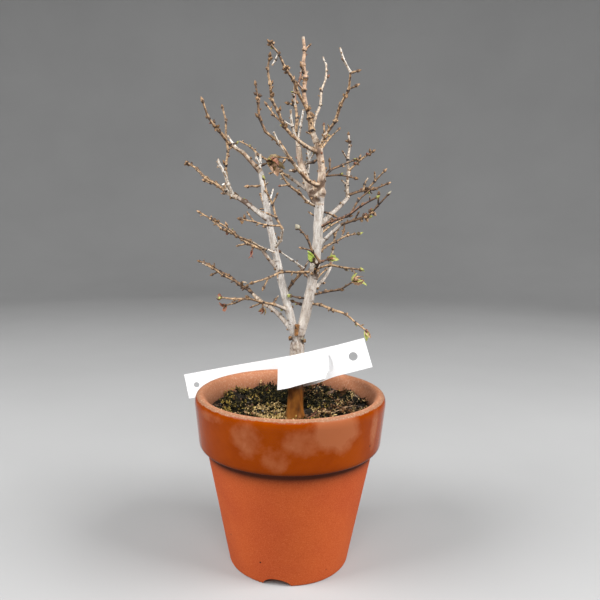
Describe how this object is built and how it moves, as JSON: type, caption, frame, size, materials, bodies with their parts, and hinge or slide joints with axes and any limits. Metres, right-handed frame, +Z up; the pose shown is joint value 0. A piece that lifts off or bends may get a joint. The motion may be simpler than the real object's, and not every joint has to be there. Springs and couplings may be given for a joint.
{
  "type": "zelkova bonsai",
  "caption": "Young bare zelkova bonsai with a forked pale trunk and fine budding twigs, standing in a round clay pot of soil with a blank white plastic label looped round its trunk.",
  "frame": {"origin": "centre of the pot's flat underside, on the pot's axis", "axes": "+Z up along the pot's axis; the pictured front of the tree faces -Y and +X is to the viewer's right"},
  "size_m": [0.1276, 0.1161, 0.2946],
  "materials": {
    "clay": "matt fired clay with a worn sheen on the collar",
    "earth": "rough mossy soil and grit",
    "bark": "smooth pale bark with fine specks",
    "twigs": "thin brown young bark",
    "label": "plain white, slightly glossy"
  },
  "bodies": {
    "root": {"pot": "clay", "soil": "earth", "trunk": "bark", "right_stem": "bark", "left_stem": "bark", "right_leader": "bark", "left_leader": "bark", "bough_low_left": "bark", "bough_low_front": "bark", "bough_left": "bark", "bough_mid_left": "bark", "bough_left_top": "bark", "bough_right_high": "bark", "bough_right_mid": "bark", "bough_right_low": "bark", "bough_crown_left": "bark", "bough_crown_front": "bark", "bough_crown_low": "bark", "bough_back_left": "bark", "bough_back_right": "bark", "bough_back_low": "bark", "bough_back_crown": "bark", "twigs_low_left": "twigs", "twigs_low_front": "twigs", "twigs_left": "twigs", "twigs_left_upper": "twigs", "twigs_left_front": "twigs", "twigs_mid_left": "twigs", "twigs_left_top": "twigs", "twigs_left_tip": "twigs", "twigs_left_spur": "twigs", "twigs_right_high": "twigs", "twigs_right_mid": "twigs", "twigs_right_red": "twigs", "twigs_right_shoot": "twigs", "twigs_front": "twigs", "twigs_right_arch": "twigs", "twigs_right_low": "twigs", "twigs_right_leafy": "twigs", "twigs_right_droop": "twigs", "twigs_cross": "twigs", "twigs_cross_back": "twigs", "twigs_inner_low": "twigs", "twigs_inner_lower": "twigs", "twigs_apex": "twigs", "twigs_top_right": "twigs", "twigs_crown_left": "twigs", "twigs_crown_front": "twigs", "twigs_crown_low": "twigs", "twigs_crown_brown": "twigs", "twigs_crown_centre": "twigs", "twigs_crown_inner": "twigs", "twigs_crown_right": "twigs", "twigs_leader_stub": "twigs", "twigs_right_spur": "twigs", "twigs_back_left": "twigs", "twigs_back_right": "twigs", "twigs_back_low": "twigs", "twigs_back_crown": "twigs", "plant_label": "label"}
  },
  "joints": []
}
